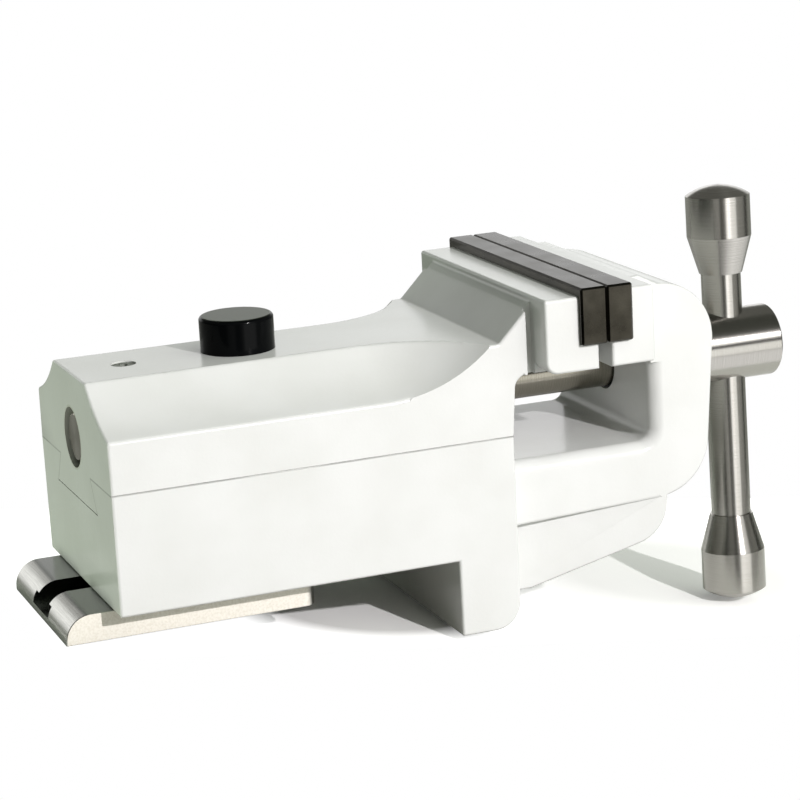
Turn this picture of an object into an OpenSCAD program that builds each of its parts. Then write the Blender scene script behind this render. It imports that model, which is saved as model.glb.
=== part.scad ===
// Bench vise: a cast base that hooks over a bench edge, a dovetail slide with the moving jaw,
// a C-shaped frame with the fixed jaw, and a spindle with a sliding cross handle.
// Millimetres. The origin is the centre of the foot plate's underside, on the bench top.
// X runs from the tail to the spindle head, Z is up, and Y = 0 is the mid-plane.

/* [Body] */
// Length of the base and of the slide above it
body_len = 121.6; // [114:0.2:132]
// Width of the base and of the slide
body_w = 79; // [74:0.5:84]
// Height of the base from its underside to the slideway
base_h = 35.4; // [32:0.2:40]

/* [Bench hook] */
// Thickness of the block that hooks over the bench edge
hook_t = 19; // [14:0.5:26]
// Drop of the hook below the base
hook_drop = 23; // [18:0.5:32]
// Radius of the hook's lower front edge
hook_round = 8; // [4:0.5:10]

/* [Foot plate] */
// Length of the foot plate
plate_len = 75.4; // [70:0.2:90]
// Width of the foot plate
plate_w = 61.4; // [56:0.2:68]
// Thickness of the foot plate
plate_t = 8.5; // [8:0.1:11]
// How far the plate stands out behind the base
plate_tail = 13.9; // [10:0.1:20]
// Radius of the plate's upper tail edge
tail_round = 7.4; // [5:0.1:7.6]
// Radius of the plate's front corners
corner_round = 5; // [2:0.5:8]
// Width of the slot at the plate's top
slot_w = 12.4; // [10:0.1:14]
// Width of the slot under its lips
slot_under_w = 18; // [16:0.1:20]
// Thickness of the lips over the slot
slot_lip = 3; // [2:0.1:3.5]
// Thickness of the floor under the slot
slot_floor = 2; // [1.5:0.1:2.6]
// Length of the slot from the tail end
slot_len = 50; // [36:1:56]
// Distance of the foot screws from the ends of the plate's part under the base
foot_inset = 11.8; // [9:0.1:16]
// Distance between the foot screws across the plate
foot_pitch_y = 42; // [36:1:46]
// Depth of the foot screws in the base
foot_screw_grip = 10; // [6:0.5:14]

/* [Slideway] */
// Width of the tongue at its neck
tongue_neck = 33.4; // [30:0.2:37]
// Depth of the tongue
tongue_h = 9.4; // [8.4:0.1:11]
// Lean of the tongue's flanks
tongue_angle = 30; // [22:1:34]
// Clearance at the flanks
way_gap = 0.05; // [0.03:0.01:0.08]
// Clearance under the tongue
floor_gap = 0.3; // [0.2:0.05:0.5]
// Depth of the chamfers that open the joint between slide and base along their sides
joint_edge = 0.3; // [0.1:0.05:1]

/* [Slide] */
// Height of the slide's flat top above the slideway
top_rise = 28; // [27:0.2:30]
// Height of the slide's straight sides above the slideway
side_rise = 15.3; // [13:0.1:17]
// Width of the flat top
top_w = 35.6; // [32:0.2:40]
// Radius of the coves along both sides
cove_r = 50; // [44:1:58]
// Distance from the front plane at which the coves start to run out
cove_run = 38.5; // [35:0.5:42]
// Distance from the front plane to the foot of the jaw ramp
ramp_foot = 3.5; // [2:0.5:8]
// Drop of the ramp's head below the top of the moving block
lip_drop = 1.7; // [1:0.1:4]
// Radius in the corners at the ramp's head and foot
ramp_round = 1.6; // [0.5:0.1:3]
// Radius in the corner under the moving jaw
neck_round = 4; // [2:0.5:6]
// Drop of the neck under the moving jaw below the jaw block
neck_drop = 0.8; // [0.2:0.1:1.5]
// How far the slide's front face leans forward up to that neck
neck_lean = 1.2; // [0.2:0.1:2]

/* [Jaws] */
// Length of the jaw plates
jaw_len = 100; // [96:1:116]
// Thickness of the jaw plates
jaw_t = 8.2; // [7:0.1:9.4]
// Height of the jaw plates
jaw_h = 17; // [15:0.2:19]
// Height of the moving plate above its block
jaw_proud = 2.7; // [1:0.1:4]
// Height of the fixed plate above its block
front_proud = 1.9; // [1:0.1:4]
// Gap between the closed plates
jaw_gap = 0.1; // [0.05:0.05:0.3]
// Distance from the front plane to the grip line
grip_ahead = 26.5; // [25:0.1:29]
// How far each plate stands out past the ends of its block
block_setback = 2; // [1:0.1:3]
// How far each plate stands out of the face of its block
block_relief = 2; // [1:0.1:3]
// Height of the moving jaw block
block_h = 22.1; // [21:0.1:25]
// Height of the jaw blocks' underside above the slideway
block_rise = 18.7; // [17.6:0.1:21]
// Thickness of the moving jaw block
rear_block_t = 16.9; // [15:0.1:18]
// Thickness of the wide part of the fixed jaw block
front_block_t = 13.9; // [12:0.1:16]
// Radius of the moving block's lower tail edge
block_round = 3.7; // [2:0.1:5]
// Width of the relief grooves between the ramp and the moving block
relief_w = 2.4; // [1:0.1:4]
// Depth of those grooves from the slide's sides
relief_depth = 2.2; // [1:0.1:6]
// Chamfer on the edges of the jaw plates
jaw_edge = 0.6; // [0.2:0.1:1]
// Distance between the jaw screws
jaw_pitch = 60; // [44:1:70]
// Length of the jaw screws' shanks
jaw_screw_len = 10.5; // [8:0.5:11]

/* [Front frame] */
// Width of the C-shaped frame
frame_w = 68; // [63:0.5:74]
// Height of the frame's lower arm at its outer end
arm_h = 17.6; // [15:0.2:20]
// How much deeper the arm is at the front plane
arm_taper = 1.8; // [0:0.1:4]
// Distance from the front plane to the frame's inner wall
throat_len = 47.6; // [45:0.2:54]
// Thickness of the frame's column at its top
column_t = 21.1; // [19:0.1:25]
// How much thinner the column is at its foot
column_taper = 2.2; // [0:0.1:4]
// Drop of the frame's top below the fixed block's top
frame_step = 3.2; // [1:0.1:4]
// Length of the frame's level crest past the fixed block, before it slopes down
frame_crest = 2; // [0.5:0.1:4]
// Radius of the inner corners of the throat
inner_round = 4; // [1:0.5:8]
// Radius of the frame's upper outer corner
top_round = 18; // [12:0.5:19]
// Radius of the frame's lower outer corner
foot_round = 17.5; // [14:0.5:18]
// Radius of the edges round the throat
edge_round = 4; // [2:0.5:5]
// Depth of the keel under the arm at the front plane
keel_depth = 23.4; // [18:0.2:28]
// Length of the keel
keel_len = 52; // [48:0.5:60]
// Radius of the keel's nose
keel_round = 12.7; // [9:0.1:15]
// Height of the centre of the nose below the arm
keel_nose_drop = 1.6; // [1:0.1:5]
// Length of the level part of the keel's underside
keel_flat = 8; // [2:0.5:14]
// Width of the keel at the front plane
keel_w = 57; // [48:0.5:62]

/* [Spindle] */
// Height of the spindle's axis above the slideway
axis_rise = 8.4; // [7.8:0.1:9]
// Diameter of the spindle
spindle_d = 15; // [14:0.1:15.6]
// Recess of the spindle's end in the slide's tail
tail_recess = 0.7; // [0.4:0.1:8]
// Clearance round the spindle in the slide
spindle_room = 0.3; // [0.2:0.05:0.6]
// Running clearance of shafts, bars and plungers
run_gap = 0.05; // [0.02:0.01:0.08]
// Diameter of the counterbore in the slide's tail
tail_bore_d = 17.9; // [17:0.1:20]
// Depth of the counterbore in the slide's tail
tail_bore_depth = 25; // [15:1:30]
// Outer diameter of the spindle bush
bush_d = 20; // [19:0.1:22]
// Diameter of the boss round the spindle
boss_d = 27; // [25:0.5:32]
// Height of the boss on the frame
boss_h = 0.6; // [0.2:0.1:2]
// Thickness of the thrust washer
washer_t = 1.5; // [1:0.1:2.5]
// Diameter of the spindle head
head_d = 22.6; // [22:0.1:26]
// Length of the spindle head
head_len = 34.2; // [32:0.2:40]
// Radius of the head's outer edge
head_round = 0.6; // [0.3:0.1:2]
// Diameter of the spindle's tenon in the head
tenon_d = 12; // [10:0.1:13]
// Length of that tenon
tenon_len = 11; // [9:0.1:12]
// Diameter of the pin through head and tenon
pin_d = 4; // [3:0.1:5]
// Distance of the pin from the back of the head
pin_at = 5.5; // [4:0.1:6.5]
// Outer diameter of the retaining ring
clip_d = 16.3; // [16:0.1:18]
// Thickness of the retaining ring
clip_t = 1.2; // [0.8:0.1:1.8]
// Depth of its groove in the spindle
clip_depth = 0.7; // [0.4:0.1:1]
// Recess of the ring in the frame's inner wall
clip_sink = 0.5; // [0.2:0.1:1.5]

/* [Handle] */
// Diameter of the handle bar
bar_d = 12.5; // [11:0.1:13]
// Distance of the bar from the back of the head
bar_at = 19.1; // [18.4:0.1:20]
// Free length of the bar between the knobs
bar_len = 77.7; // [70:0.1:100]
// How far the bar hangs down from its middle position
bar_drop = 15.7; // [0:0.1:20]
// Lean of the bar's upper end towards the far side
bar_lean = 2.4; // [0:0.1:10]
// Diameter of the knobs
knob_d = 20.2; // [18:0.1:24]
// Length of the knobs' cones
knob_cone = 11.7; // [9:0.1:16]
// Length of the knobs' straight part
knob_straight = 12.8; // [8:0.1:16]
// Height of the knobs' domed ends
knob_dome = 3.2; // [2:0.1:6]
// Step from the bar to the small end of a knob's cone
knob_lip = 0.5; // [0.2:0.1:1.2]
// Diameter of the bar's threaded ends in the knobs
stub_d = 8; // [6:0.1:9]
// Length of those ends
stub_len = 14; // [10:0.5:16]
// Diameter of the friction plug in the head
brake_d = 6; // [5:0.1:7]
// Length of the friction plug
brake_len = 2.6; // [2:0.1:3]
// Length of the spring behind the plug
brake_spring_len = 3.2; // [2.8:0.1:3.6]

/* [Release button] */
// Distance of the button from the front plane
button_back = 70; // [64:0.5:78]
// Diameter of the button
button_d = 22; // [21:0.1:24]
// Height of the button above the slide's top
button_h = 10.4; // [8:0.1:13]
// Radius of the button's rim
button_round = 1.2; // [0.5:0.1:2]
// Travel of the button
button_travel = 2.2; // [1.6:0.1:2.2]
// Diameter of the plunger
plunger_d = 20; // [19.4:0.1:20.4]
// Height of the plunger above the spindle's axis
plunger_up = 14.2; // [13.4:0.1:15]
// Depth of the plunger below the spindle's axis
plunger_down = 12.8; // [12:0.1:13]
// Diameter of the stud in the button
stud_d = 8; // [6:0.1:10]
// Length of that stud
stud_len = 6; // [4:0.5:8]
// Diameter of the spring's pocket in the plunger
pocket_d = 12; // [10:0.1:13]
// Material left over that pocket under the spindle
pocket_roof = 1.9; // [1.4:0.1:2.2]
// Diameter of the plug under the spring
plug_d = 24; // [22:0.1:26]
// Thickness of that plug
plug_t = 2.2; // [1.8:0.1:2.4]

/* [Oil screw] */
// Distance of the oil screw from the tail
oil_from_tail = 16.7; // [12:0.1:22]
// Diameter of the oil screw
oil_d = 7.4; // [6:0.1:9]
// Length of the oil screw
oil_len = 7; // [5:0.1:8]
// Recess of the oil screw's face
oil_recess = 0.4; // [0.2:0.1:1]
// Width across flats of its socket
oil_socket = 2.5; // [2:0.1:4.5]
// Diameter of the oil hole below it
oil_hole_d = 3; // [2:0.1:4]

/* [Fasteners] */
// Shank diameter of the foot screws
foot_screw_d = 6; // [5:0.5:6.5]
// Head diameter of the foot screws
foot_head_d = 10; // [8.5:0.5:11]
// Head height of the foot screws
foot_head_h = 5.4; // [4:0.1:6]
// Shank diameter of the jaw screws
jaw_screw_d = 5; // [4:0.5:6]
// Head diameter of the jaw screws
jaw_head_d = 8.5; // [7:0.5:10]
// Head height of the jaw screws
jaw_head_h = 4.8; // [4:0.1:5.4]
// Clearance round screw heads and shanks
screw_gap = 0.25; // [0.1:0.05:0.4]
// Recess of the screw heads below their face
screw_recess = 0.4; // [0.2:0.1:1]
// Share of the head's width taken by the socket
socket_share = 0.5; // [0.4:0.05:0.6]
// Clearance of pieces that are fixed in a hole
seat_gap = 0.02; // [0.01:0.01:0.05]

/* [Springs] */
// Wire diameter of the release spring
release_wire = 0.8; // [0.6:0.05:0.9]
// Coils of the release spring
release_turns = 4; // [3:0.5:4]
// Wire diameter of the brake spring
brake_wire = 0.5; // [0.4:0.05:0.55]
// Coils of the brake spring
brake_turns = 3; // [2:0.5:3]

/* [Hidden] */
$fn = 96;
// Overlap of cutting bodies past the face that they cut
cut = 1;

// Levels
z_base = plate_t;
z_split = z_base + base_h;
z_tongue = z_split - tongue_h;
z_floor = z_tongue - floor_gap;
z_hook = z_base - hook_drop;
z_side = z_split + side_rise;
z_top = z_split + top_rise;
z_axis = z_split + axis_rise;
z_under = z_split + block_rise;
z_block = z_under + block_h;
z_neck = z_under - neck_drop;
z_jaw_top = z_block + jaw_proud;
z_jaw = z_jaw_top - jaw_h;
z_front = z_jaw_top - front_proud;
z_frame = z_front - frame_step;
z_arm = z_floor - arm_h;
z_keel = z_arm - keel_depth;

// Stations along X
rear_x = plate_tail - plate_len / 2;
front_x = rear_x + body_len;
grip_x = front_x + grip_ahead;
moving_face_x = grip_x - jaw_gap / 2;
fixed_face_x = grip_x + jaw_gap / 2;
rear_block_face_x = moving_face_x - block_relief;
rear_block_x = rear_block_face_x - rear_block_t;
front_block_x = fixed_face_x + block_relief;
wall_x = front_x + throat_len;
column_x = wall_x + column_t;
boss_x = column_x + boss_h;
clip_x = wall_x + clip_sink;
bush_x = clip_x + clip_t + run_gap;
head_x = boss_x + washer_t + run_gap;
bar_x = head_x + bar_at;
button_x = front_x - button_back;

// Radii and half widths
block_len = jaw_len - 2 * block_setback;
spindle_r = spindle_d / 2;

// Turns a drawing of X and Z into a slab of the given width about the mid-plane
module across(w) {
    rotate([90, 0, 0])
        linear_extrude(w, center = true)
            children();
}

// Turns a drawing of Y and Z into a bar from one station along X to another
module along(x0, x1) {
    translate([x0, 0, 0])
        rotate([90, 0, 90])
            linear_extrude(x1 - x0)
                children();
}

// Round bar along X at the spindle's axis
module axle(x0, x1, d) {
    translate([x0, 0, z_axis])
        rotate([0, 90, 0])
            cylinder(d = d, h = x1 - x0);
}

// Both of a left and right pair
module both_sides() {
    children();
    mirror([0, 1, 0])
        children();
}

// Area between a square corner at the origin and an arc that rounds it from inside the quadrant
module corner_web(r) {
    difference() {
        square(r);
        translate([r, r])
            circle(r);
    }
}

// Section of the dovetail tongue, grown on its flanks and foot by the given clearances
module tongue_section(flank_gap, foot_gap, rise) {
    half_neck = tongue_neck / 2 + flank_gap / cos(tongue_angle);
    half_foot = half_neck + (tongue_h + foot_gap) * tan(tongue_angle);
    z_foot = z_tongue - foot_gap;
    polygon([[-half_foot, z_foot], [half_foot, z_foot], [half_neck, z_split],
             [half_neck, z_split + rise], [-half_neck, z_split + rise], [-half_neck, z_split]]);
}

// Cutters that chamfer the long edges of the joint between slide and base
module joint_edges() {
    both_sides()
        along(rear_x - cut, front_x + cut)
            translate([body_w / 2, z_split])
                rotate(45)
                    square(joint_edge * sqrt(2), center = true);
}

// Block with all its edges chamfered
module chamfered_block(size, edge) {
    intersection() {
        linear_extrude(size.z)
            chamfered_face(size.x, size.y, edge);
        translate([0, size.y, 0])
            rotate([90, 0, 0])
                linear_extrude(size.y)
                    chamfered_face(size.x, size.z, edge);
        rotate([90, 0, 90])
            linear_extrude(size.x)
                chamfered_face(size.y, size.z, edge);
    }
}

// Rectangle with its corners cut off
module chamfered_face(w, h, edge) {
    polygon([[edge, 0], [w - edge, 0], [w, edge], [w, h - edge], [w - edge, h], [edge, h],
             [0, h - edge], [0, edge]]);
}

// Socket head cap screw along +Z, with its head's seat at the origin and the head below it
module cap_screw(shank_d, shank_l, head_d, head_h) {
    socket_d = head_d * socket_share;
    difference() {
        union() {
            cylinder(d = shank_d, h = shank_l);
            translate([0, 0, -head_h])
                cylinder(d = head_d, h = head_h);
        }
        translate([0, 0, -head_h - cut])
            cylinder(d = socket_d, h = head_h / 2 + cut, $fn = 6);
    }
}

// Hole for such a screw: its head's counterbore and its shank's bore
module screw_hole(shank_d, shank_l, head_d, head_h) {
    translate([0, 0, -cut])
        cylinder(d = shank_d + 2 * screw_gap, h = shank_l + cut);
    translate([0, 0, -head_h - cut])
        cylinder(d = head_d + 2 * screw_gap, h = head_h + cut);
}

// Places its children at the foot screws' seats
module at_foot_screws() {
    for (x = [rear_x + foot_inset, plate_len / 2 - foot_inset], y = [-1, 1])
        translate([x, y * foot_pitch_y / 2, foot_head_h + screw_recess])
            children();
}

// Places its children at the seats of a jaw plate's screws; side is -1 for the moving jaw
module at_jaw_screws(side) {
    face_x = side < 0 ? moving_face_x : fixed_face_x;
    seat_x = face_x + side * (jaw_head_h + screw_recess);
    for (y = [-1, 1])
        translate([seat_x, y * jaw_pitch / 2, (z_jaw + z_block) / 2])
            rotate([0, side * 90, 0])
                children();
}

// Round wire coil along +Z with its ends inside the given length
module coil(mean_r, wire, turns, length) {
    sides = 6;
    rings = 12;
    steps = round(turns * rings);
    rise = length - wire;
    spot = function(i, k) let (
        turn = 360 * turns * i / steps,
        round_angle = 360 * k / sides,
        r = mean_r + wire / 2 * cos(round_angle))
        [r * cos(turn), r * sin(turn), wire / 2 + rise * i / steps + wire / 2 * sin(round_angle)];
    points = [for (i = [0:steps], k = [0:sides - 1]) spot(i, k)];
    quads = [for (i = [0:steps - 1], k = [0:sides - 1]) let (n = (k + 1) % sides)
        [i * sides + k, i * sides + n, (i + 1) * sides + n, (i + 1) * sides + k]];
    tail = [for (k = [sides - 1:-1:0]) k];
    nose = [for (k = [0:sides - 1]) steps * sides + k];
    echo(coil_gap = rise / turns - wire);
    polyhedron(points, concat(quads, [tail, nose]));
}

// Side view of the base block with the hook under its front end
module bed_outline() {
    hook_x = front_x - hook_t;
    corner = [front_x - hook_round, z_hook + hook_round];
    polygon([[rear_x, z_base], [hook_x, z_base], [hook_x, z_hook], [corner.x, z_hook], corner,
             [front_x, corner.y], [front_x, z_split], [rear_x, z_split]]);
    translate(corner)
        circle(hook_round);
}

// Side view of the throat, open towards the slide and round in its far corners
module throat_outline() {
    difference() {
        translate([front_x - 2 * cut, z_floor])
            square([throat_len + 2 * cut, z_under - z_floor]);
        translate([wall_x, z_floor])
            mirror([1, 0])
                corner_web(inner_round);
        translate([wall_x, z_under])
            rotate(180)
                corner_web(inner_round);
    }
}

// Side view of the C-shaped frame
module frame_outline() {
    top = [column_x - top_round, z_frame - top_round];
    foot = [column_x - column_taper - foot_round, z_arm + foot_round];
    crest_x = front_block_x + front_block_t + frame_crest;
    difference() {
        union() {
            polygon([[front_x - cut, z_arm - arm_taper], [foot.x, z_arm], foot + [foot_round, 0],
                     top + [top_round, 0], [top.x, z_frame], [crest_x, z_front],
                     [front_block_x, z_front], [front_block_x, z_under], [front_x - cut, z_under]]);
            translate(top)
                circle(top_round);
            translate(foot)
                circle(foot_round);
        }
        throat_outline();
    }
}

// Side view of the keel: its underside runs tangent into the round nose
module keel_outline() {
    nose = [front_x + keel_len - keel_round, z_arm - keel_nose_drop];
    start = [front_x + keel_flat, z_keel];
    reach = norm(nose - start);
    lean = atan2(nose.y - start.y, nose.x - start.x) - asin(keel_round / reach);
    run = sqrt(reach * reach - keel_round * keel_round);
    touch = start + run * [cos(lean), sin(lean)];
    z_in = z_arm + arm_h / 2;
    polygon([[front_x - cut, z_keel], start, touch, nose, nose + [keel_round, 0],
             [nose.x + keel_round, z_arm + keel_nose_drop], [nose.x, z_in], [front_x - cut, z_in]]);
    translate(nose)
        circle(keel_round);
}

// Keel, widening from the bed to the full width of the frame at its nose
module keel() {
    intersection() {
        across(frame_w)
            keel_outline();
        translate([0, 0, z_keel - cut])
            linear_extrude(keel_depth + arm_h)
                polygon([[front_x - cut, -keel_w / 2], [front_x + keel_len, -frame_w / 2],
                         [front_x + keel_len, frame_w / 2], [front_x - cut, keel_w / 2]]);
    }
}

// Cutters that round the edges of the arm, the inner corner and the wall round the throat
module throat_edges() {
    x_turn = wall_x - inner_round;
    z_turn = z_floor + inner_round;
    both_sides() {
        along(front_x, x_turn)
            translate([frame_w / 2, z_floor])
                rotate(180)
                    edge_web();
        translate([0, 0, z_turn])
            linear_extrude(z_under - inner_round - z_turn)
                translate([wall_x, frame_w / 2])
                    rotate(-90)
                        edge_web();
        translate([x_turn, 0, z_turn])
            rotate([90, 0, 0])
                rotate([0, 0, -90])
                    rotate_extrude(angle = 90)
                        translate([inner_round, -frame_w / 2])
                            edge_web();
    }
}

// Corner cutter that also reaches past both faces of the edge
module edge_web() {
    difference() {
        translate([-cut, -cut])
            square(edge_round + cut);
        translate([edge_round, edge_round])
            circle(edge_round);
    }
}

module base_casting() {
    color("ivory")
    difference() {
        union() {
            across(body_w)
                bed_outline();
            difference() {
                across(frame_w)
                    frame_outline();
                throat_edges();
            }
            keel();
            translate([front_block_x, -block_len / 2, z_under])
                cube([front_block_t, block_len, z_front - z_under]);
            axle(wall_x + cut, boss_x, boss_d);
        }
        along(rear_x - cut, front_x + cut)
            tongue_section(way_gap, floor_gap, cut);
        translate([front_block_x - cut, -jaw_len, z_jaw])
            cube([fixed_face_x + jaw_t - front_block_x + cut, 2 * jaw_len, jaw_h + cut]);
        joint_edges();
        axle(bush_x, boss_x + cut, bush_d + 2 * seat_gap);
        axle(wall_x - cut, bush_x + cut, clip_d + 2 * screw_gap);
        at_foot_screws()
            cylinder(d = foot_screw_d + 2 * seat_gap, h = foot_plate_bite() + foot_screw_grip + cut);
        at_jaw_screws(1)
            cylinder(d = jaw_screw_d + 2 * seat_gap, h = jaw_screw_len + cut);
    }
}

// Thickness of the foot plate under the screws' seats
function foot_plate_bite() = plate_t - foot_head_h - screw_recess;

// Plan of the foot plate with its front corners rounded
module foot_plan() {
    x0 = -plate_len / 2;
    inset = plate_w / 2 - corner_round;
    translate([x0, -inset])
        square([plate_len, 2 * inset]);
    translate([x0, -plate_w / 2])
        square([plate_len - corner_round, plate_w]);
    for (side = [-1, 1])
        translate([plate_len / 2 - corner_round, side * inset])
            circle(corner_round);
}

// Side view of the foot plate with its upper tail edge rounded
module foot_side() {
    centre = [tail_round - plate_len / 2, plate_t - tail_round];
    polygon([[-plate_len / 2, 0], [plate_len / 2, 0], [plate_len / 2, plate_t], [centre.x, plate_t],
             centre, [-plate_len / 2, centre.y]]);
    translate(centre)
        circle(tail_round);
}

module foot_plate() {
    x0 = -plate_len / 2 - cut;
    x1 = slot_len - plate_len / 2 - slot_w / 2;
    under_h = plate_t - slot_lip - slot_floor;
    color("lightsteelblue")
    difference() {
        intersection() {
            linear_extrude(plate_t)
                foot_plan();
            across(plate_w)
                foot_side();
        }
        translate([x0, -slot_w / 2, slot_floor])
            cube([x1 - x0, slot_w, plate_t]);
        translate([x1, 0, slot_floor])
            cylinder(d = slot_w, h = plate_t);
        translate([x0, -slot_under_w / 2, slot_floor])
            cube([x1 - x0, slot_under_w, under_h]);
        at_foot_screws()
            screw_hole(foot_screw_d, plate_t, foot_head_d, plate_t);
    }
}

module foot_screws() {
    color("dimgray")
    at_foot_screws()
        cap_screw(foot_screw_d, foot_plate_bite() + foot_screw_grip, foot_head_d, foot_head_h);
}

// Jaw plate between two stations along X, with the holes of its screws
module jaw_plate(x0, side) {
    color("gray")
    difference() {
        translate([x0, -jaw_len / 2, z_jaw])
            chamfered_block([jaw_t, jaw_len, jaw_h], jaw_edge);
        at_jaw_screws(side)
            screw_hole(jaw_screw_d, jaw_t, jaw_head_d, jaw_t);
    }
}

module jaw_screws(side) {
    color("dimgray")
    at_jaw_screws(side)
        cap_screw(jaw_screw_d, jaw_screw_len, jaw_head_d, jaw_head_h);
}

module fixed_jaw_plate() {
    jaw_plate(fixed_face_x, 1);
}

module fixed_jaw_screws() {
    jaw_screws(1);
}

module moving_jaw_plate() {
    jaw_plate(moving_face_x - jaw_t, -1);
}

module moving_jaw_screws() {
    jaw_screws(-1);
}

module spindle_bush() {
    color("goldenrod")
    difference() {
        axle(bush_x, boss_x, bush_d);
        axle(bush_x - cut, boss_x + cut, spindle_d + 2 * run_gap);
    }
}

module thrust_washer() {
    color("goldenrod")
    difference() {
        axle(boss_x, boss_x + washer_t, head_d - 2 * head_round);
        axle(boss_x - cut, boss_x + washer_t + cut, spindle_d + 2 * run_gap);
    }
}

// Fillet in the corner at the origin between two directions
module fillet_web(u, v, r) {
    half = acos(u * v) / 2;
    reach = r / tan(half);
    centre = (u + v) / norm(u + v) * r / sin(half);
    difference() {
        polygon([-cut * (u + v), reach * u, centre, reach * v]);
        translate(centre)
            circle(r);
    }
}

// Side view of the slide without its jaw block: flat top, ramp and the corner under the jaw
module slide_outline() {
    x_in = rear_block_x + rear_block_t / 2;
    head = [rear_block_x, z_block - lip_drop];
    foot = [front_x - ramp_foot, z_top];
    slope = (head - foot) / norm(head - foot);
    neck = [front_x + neck_lean, z_neck - neck_round];
    difference() {
        union() {
            polygon([[rear_x, z_split], [front_x, z_split], neck, [neck.x, z_neck], [x_in, z_neck],
                     [x_in, head.y], head, foot, [rear_x, z_top]]);
            translate(neck)
                square(neck_round);
            translate(head)
                fillet_web([0, 1], -slope, ramp_round);
            translate(foot)
                fillet_web(slope, [-1, 0], ramp_round);
        }
        translate(neck + [neck_round, 0])
            circle(neck_round);
    }
}

// Side view of the moving jaw block, round at its lower tail edge
module rear_block_outline() {
    corner = [rear_block_x + block_round, z_under + block_round];
    polygon([[corner.x, z_under], [rear_block_face_x, z_under], [rear_block_face_x, z_block],
             [rear_block_x, z_block], [rear_block_x, corner.y], corner]);
    translate(corner)
        circle(block_round);
}

// Ball-ended cutter of one side cove: it follows the side and runs out before the jaw
module cove_cutter() {
    outer = [body_w / 2, z_side];
    inner = [top_w / 2, z_top];
    chord = norm(outer - inner);
    lift = sqrt(cove_r * cove_r - chord * chord / 4);
    normal = [z_top - z_side, outer.x - inner.x] / chord;
    centre = (outer + inner) / 2 + lift * normal;
    run_x = front_x - cove_run;
    along(rear_x - cut, run_x)
        translate(centre)
            circle(cove_r, $fn = 180);
    translate([run_x, centre.x, centre.y])
        sphere(cove_r, $fn = 180);
}

// Bores of the button, the plunger and the plug below them
module release_bores() {
    z_ledge = z_axis + plunger_up - button_travel - floor_gap;
    translate([button_x, 0, 0]) {
        translate([0, 0, z_ledge])
            cylinder(d = button_d + 2 * run_gap, h = z_top - z_ledge + cut);
        translate([0, 0, z_tongue - cut])
            cylinder(d = plunger_d + 2 * run_gap, h = z_ledge - z_tongue + 2 * cut);
        translate([0, 0, z_tongue - cut])
            cylinder(d = plug_d + 2 * seat_gap, h = plug_t + cut);
    }
}

// Grooves at the slide's sides, between the ramp and the tail face of the jaw block
module relief_grooves() {
    both_sides()
        translate([rear_block_x - relief_w, body_w / 2 - relief_depth, z_neck - cut])
            cube([relief_w, relief_depth + cut, z_block - z_neck + 2 * cut]);
}

module slide_casting() {
    oil_x = rear_x + oil_from_tail;
    oil_depth = oil_len + oil_recess;
    color("white")
    difference() {
        union() {
            difference() {
                across(body_w)
                    slide_outline();
                both_sides()
                    cove_cutter();
                relief_grooves();
            }
            across(block_len)
                rear_block_outline();
            along(rear_x, front_x)
                tongue_section(0, 0, cut);
        }
        translate([moving_face_x - jaw_t, -jaw_len, z_jaw])
            cube([jaw_t + cut, 2 * jaw_len, jaw_h + cut]);
        axle(rear_x - cut, front_x + neck_lean + neck_round, spindle_d + 2 * spindle_room);
        axle(rear_x - cut, rear_x + tail_bore_depth, tail_bore_d);
        release_bores();
        joint_edges();
        translate([oil_x, 0, z_top - oil_depth])
            cylinder(d = oil_d + 2 * seat_gap, h = oil_depth + cut);
        translate([oil_x, 0, z_axis])
            cylinder(d = oil_hole_d, h = z_top - z_axis - oil_depth + cut);
        at_jaw_screws(-1)
            cylinder(d = jaw_screw_d + 2 * seat_gap, h = jaw_screw_len + cut);
    }
}

module oil_screw() {
    color("black")
    translate([rear_x + oil_from_tail, 0, z_top - oil_recess - oil_len])
        difference() {
            cylinder(d = oil_d, h = oil_len);
            translate([0, 0, oil_len / 2])
                cylinder(d = oil_socket / cos(30), h = oil_len, $fn = 6);
        }
}

module spring_plug() {
    color("silver")
    translate([button_x, 0, z_tongue])
        cylinder(d = plug_d, h = plug_t);
}

// Half section of the button with a rounded rim and the hole for the plunger's stud
module button_section() {
    h = z_top + button_h - z_axis - plunger_up;
    r = button_d / 2;
    difference() {
        union() {
            square([r - button_round, h]);
            square([r, h - button_round]);
            translate([r - button_round, h - button_round])
                circle(button_round);
        }
        square([stud_d / 2 + seat_gap, stud_len + seat_gap]);
    }
}

module release_button() {
    color("black")
    translate([button_x, 0, z_axis + plunger_up])
        rotate_extrude()
            button_section();
}

module release_plunger() {
    window_d = spindle_d + 2 * run_gap;
    window_rise = button_travel + floor_gap;
    pocket_h = plunger_down - spindle_r - run_gap - pocket_roof;
    x0 = button_x - plunger_d;
    x1 = button_x + plunger_d;
    color("goldenrod")
    difference() {
        translate([button_x, 0, z_axis - plunger_down]) {
            cylinder(d = plunger_d, h = plunger_down + plunger_up);
            cylinder(d = stud_d, h = plunger_down + plunger_up + stud_len);
        }
        axle(x0, x1, window_d);
        translate([0, 0, window_rise])
            axle(x0, x1, window_d);
        translate([x0, -window_d / 2, z_axis])
            cube([x1 - x0, window_d, window_rise]);
        translate([button_x, 0, z_axis - plunger_down - cut])
            cylinder(d = pocket_d, h = pocket_h + cut);
    }
}

module release_spring() {
    z0 = z_tongue + plug_t;
    z1 = z_axis - spindle_r - run_gap - pocket_roof;
    color("silver")
    translate([button_x, 0, z0])
        coil(pocket_d / 2 - 1.5 * release_wire, release_wire, release_turns, z1 - z0);
}

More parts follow.
